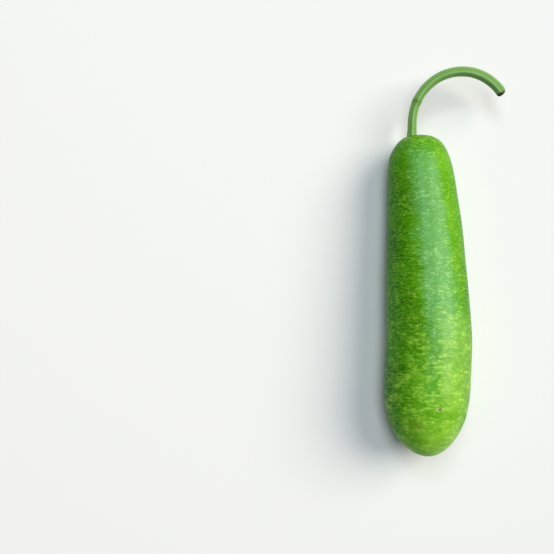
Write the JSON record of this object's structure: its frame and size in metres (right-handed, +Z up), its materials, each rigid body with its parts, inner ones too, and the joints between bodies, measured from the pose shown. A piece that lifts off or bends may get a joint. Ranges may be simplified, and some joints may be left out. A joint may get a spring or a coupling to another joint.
{
  "type": "bottle gourd",
  "caption": "Long club-shaped bottle gourd lying on its side, with mottled green skin, a hooked cut stem and the corky scar of its flower.",
  "frame": {"origin": "middle of the small flat spot on the underside that the fruit rests on", "axes": "+Z up, +Y along the fruit from its blossom end towards its stem, +X to the side that the stem hooks towards"},
  "size_m": [0.1247, 0.3898, 0.0829],
  "materials": {
    "skin": "satin",
    "stem": "satin",
    "cork": "matte"
  },
  "bodies": {
    "root": {"fruit": "skin", "stem": "stem", "blossom_scar": "cork"}
  },
  "joints": []
}
